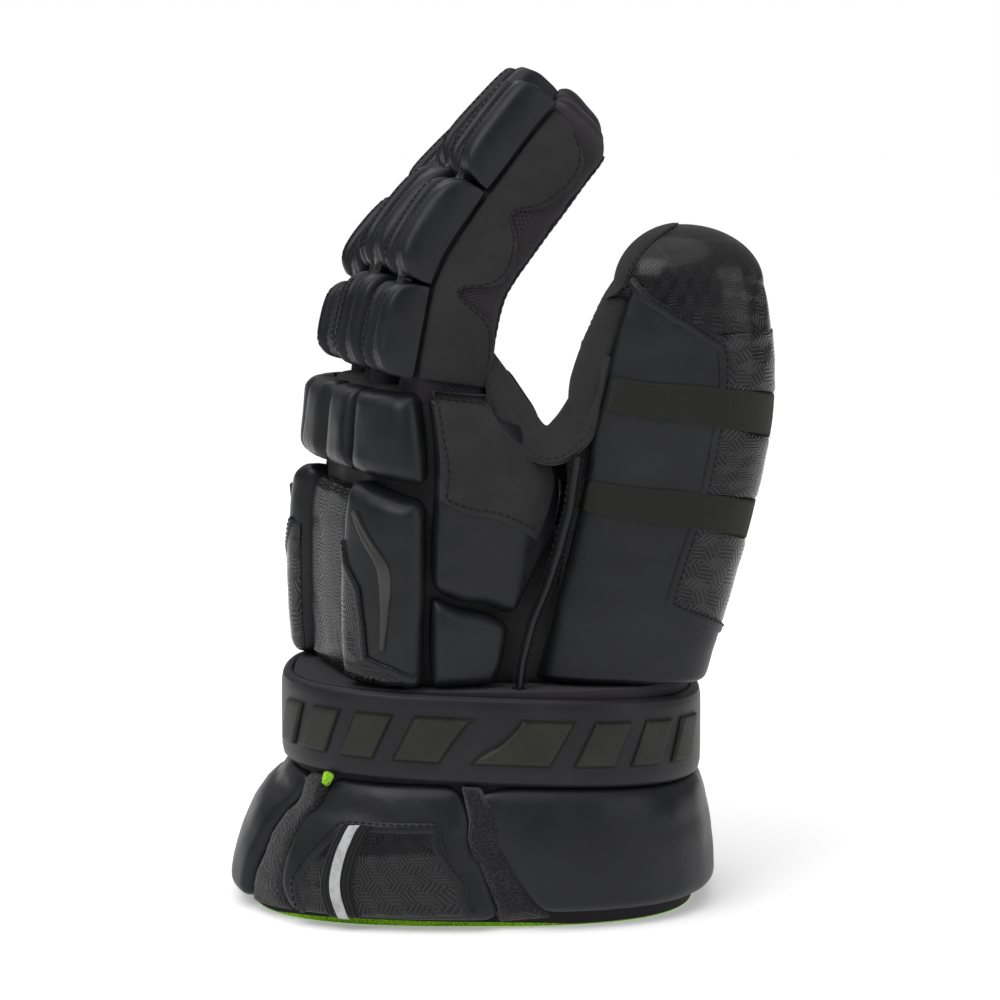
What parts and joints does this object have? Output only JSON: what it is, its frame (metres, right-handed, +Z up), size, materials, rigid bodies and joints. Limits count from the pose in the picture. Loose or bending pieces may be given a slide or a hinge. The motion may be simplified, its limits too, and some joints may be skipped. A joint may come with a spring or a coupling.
{
  "type": "lacrosse glove",
  "caption": "Padded left-hand lacrosse glove standing on its cuff, with segmented finger pads, a strapped thumb, an elastic wrist band and a flared cuff.",
  "frame": {"origin": "centre of the bounding box's base, on the plane that the cuff's rim stands on", "axes": "+Z up towards the fingertips; +X from the back of the hand towards the palm and thumb; the thumb side faces -Y"},
  "size_m": [0.2156, 0.1514, 0.3276],
  "materials": {
    "leather": "satin coated leather, blue-black",
    "embossed": "glossier coated leather with a pressed line pattern",
    "suede": "matte microfibre suede, dark grey",
    "knit": "matte open knit",
    "webbing": "ribbed elastic webbing",
    "rubber": "matte moulded elastomer",
    "trim": "moulded olive-black trim",
    "fleece": "brushed hook-and-loop pile",
    "lining": "green knitted lining",
    "tape": "fine ribbed tape",
    "reflective": "silver reflective stripe"
  },
  "bodies": {
    "root": {"cuff_lining": "lining", "palm_shell": "suede", "thumb_stall": "suede", "index_stall": "knit", "middle_stall": "knit", "ring_stall": "knit", "pinky_stall": "knit", "index_proximal_pad": "leather", "index_middle_pad": "leather", "index_distal_pad": "leather", "middle_proximal_pad": "leather", "middle_middle_pad": "leather", "middle_distal_pad": "leather", "ring_proximal_pad": "leather", "ring_middle_pad": "leather", "ring_distal_pad": "leather", "pinky_proximal_pad": "leather", "pinky_middle_pad": "leather", "pinky_distal_pad": "leather", "index_back_strip": "embossed", "middle_back_strip": "embossed", "ring_back_strip": "embossed", "pinky_back_strip": "embossed", "index_side_panel": "suede", "pinky_side_panel": "suede", "index_knuckle_pad": "leather", "middle_knuckle_pad": "leather", "ring_knuckle_pad": "leather", "pinky_knuckle_pad": "leather", "back_pad_radial": "leather", "back_pad_ulnar": "leather", "back_channel": "embossed", "back_rib_radial": "trim", "back_rib_ulnar": "trim", "radial_upper_pad": "leather", "radial_lower_pad": "leather", "ulnar_upper_pad": "leather", "ulnar_lower_pad": "leather", "web_patch": "suede", "web_gusset": "suede", "thumb_pad": "leather", "thumb_side_panel": "embossed", "thumb_tip_cap": "embossed", "thumb_strap_upper": "webbing", "thumb_strap_lower": "webbing", "thumb_binding": "suede", "wrist_band": "rubber", "cuff_near_lobe": "leather", "cuff_thumb_lobe": "leather", "cuff_far_lobe": "leather", "cuff_back_lobe": "leather", "fleece_back_edge": "fleece", "fleece_thumb_edge": "fleece", "cuff_inset": "embossed", "cuff_tape": "tape", "cuff_stripe": "reflective"}
  },
  "joints": []
}
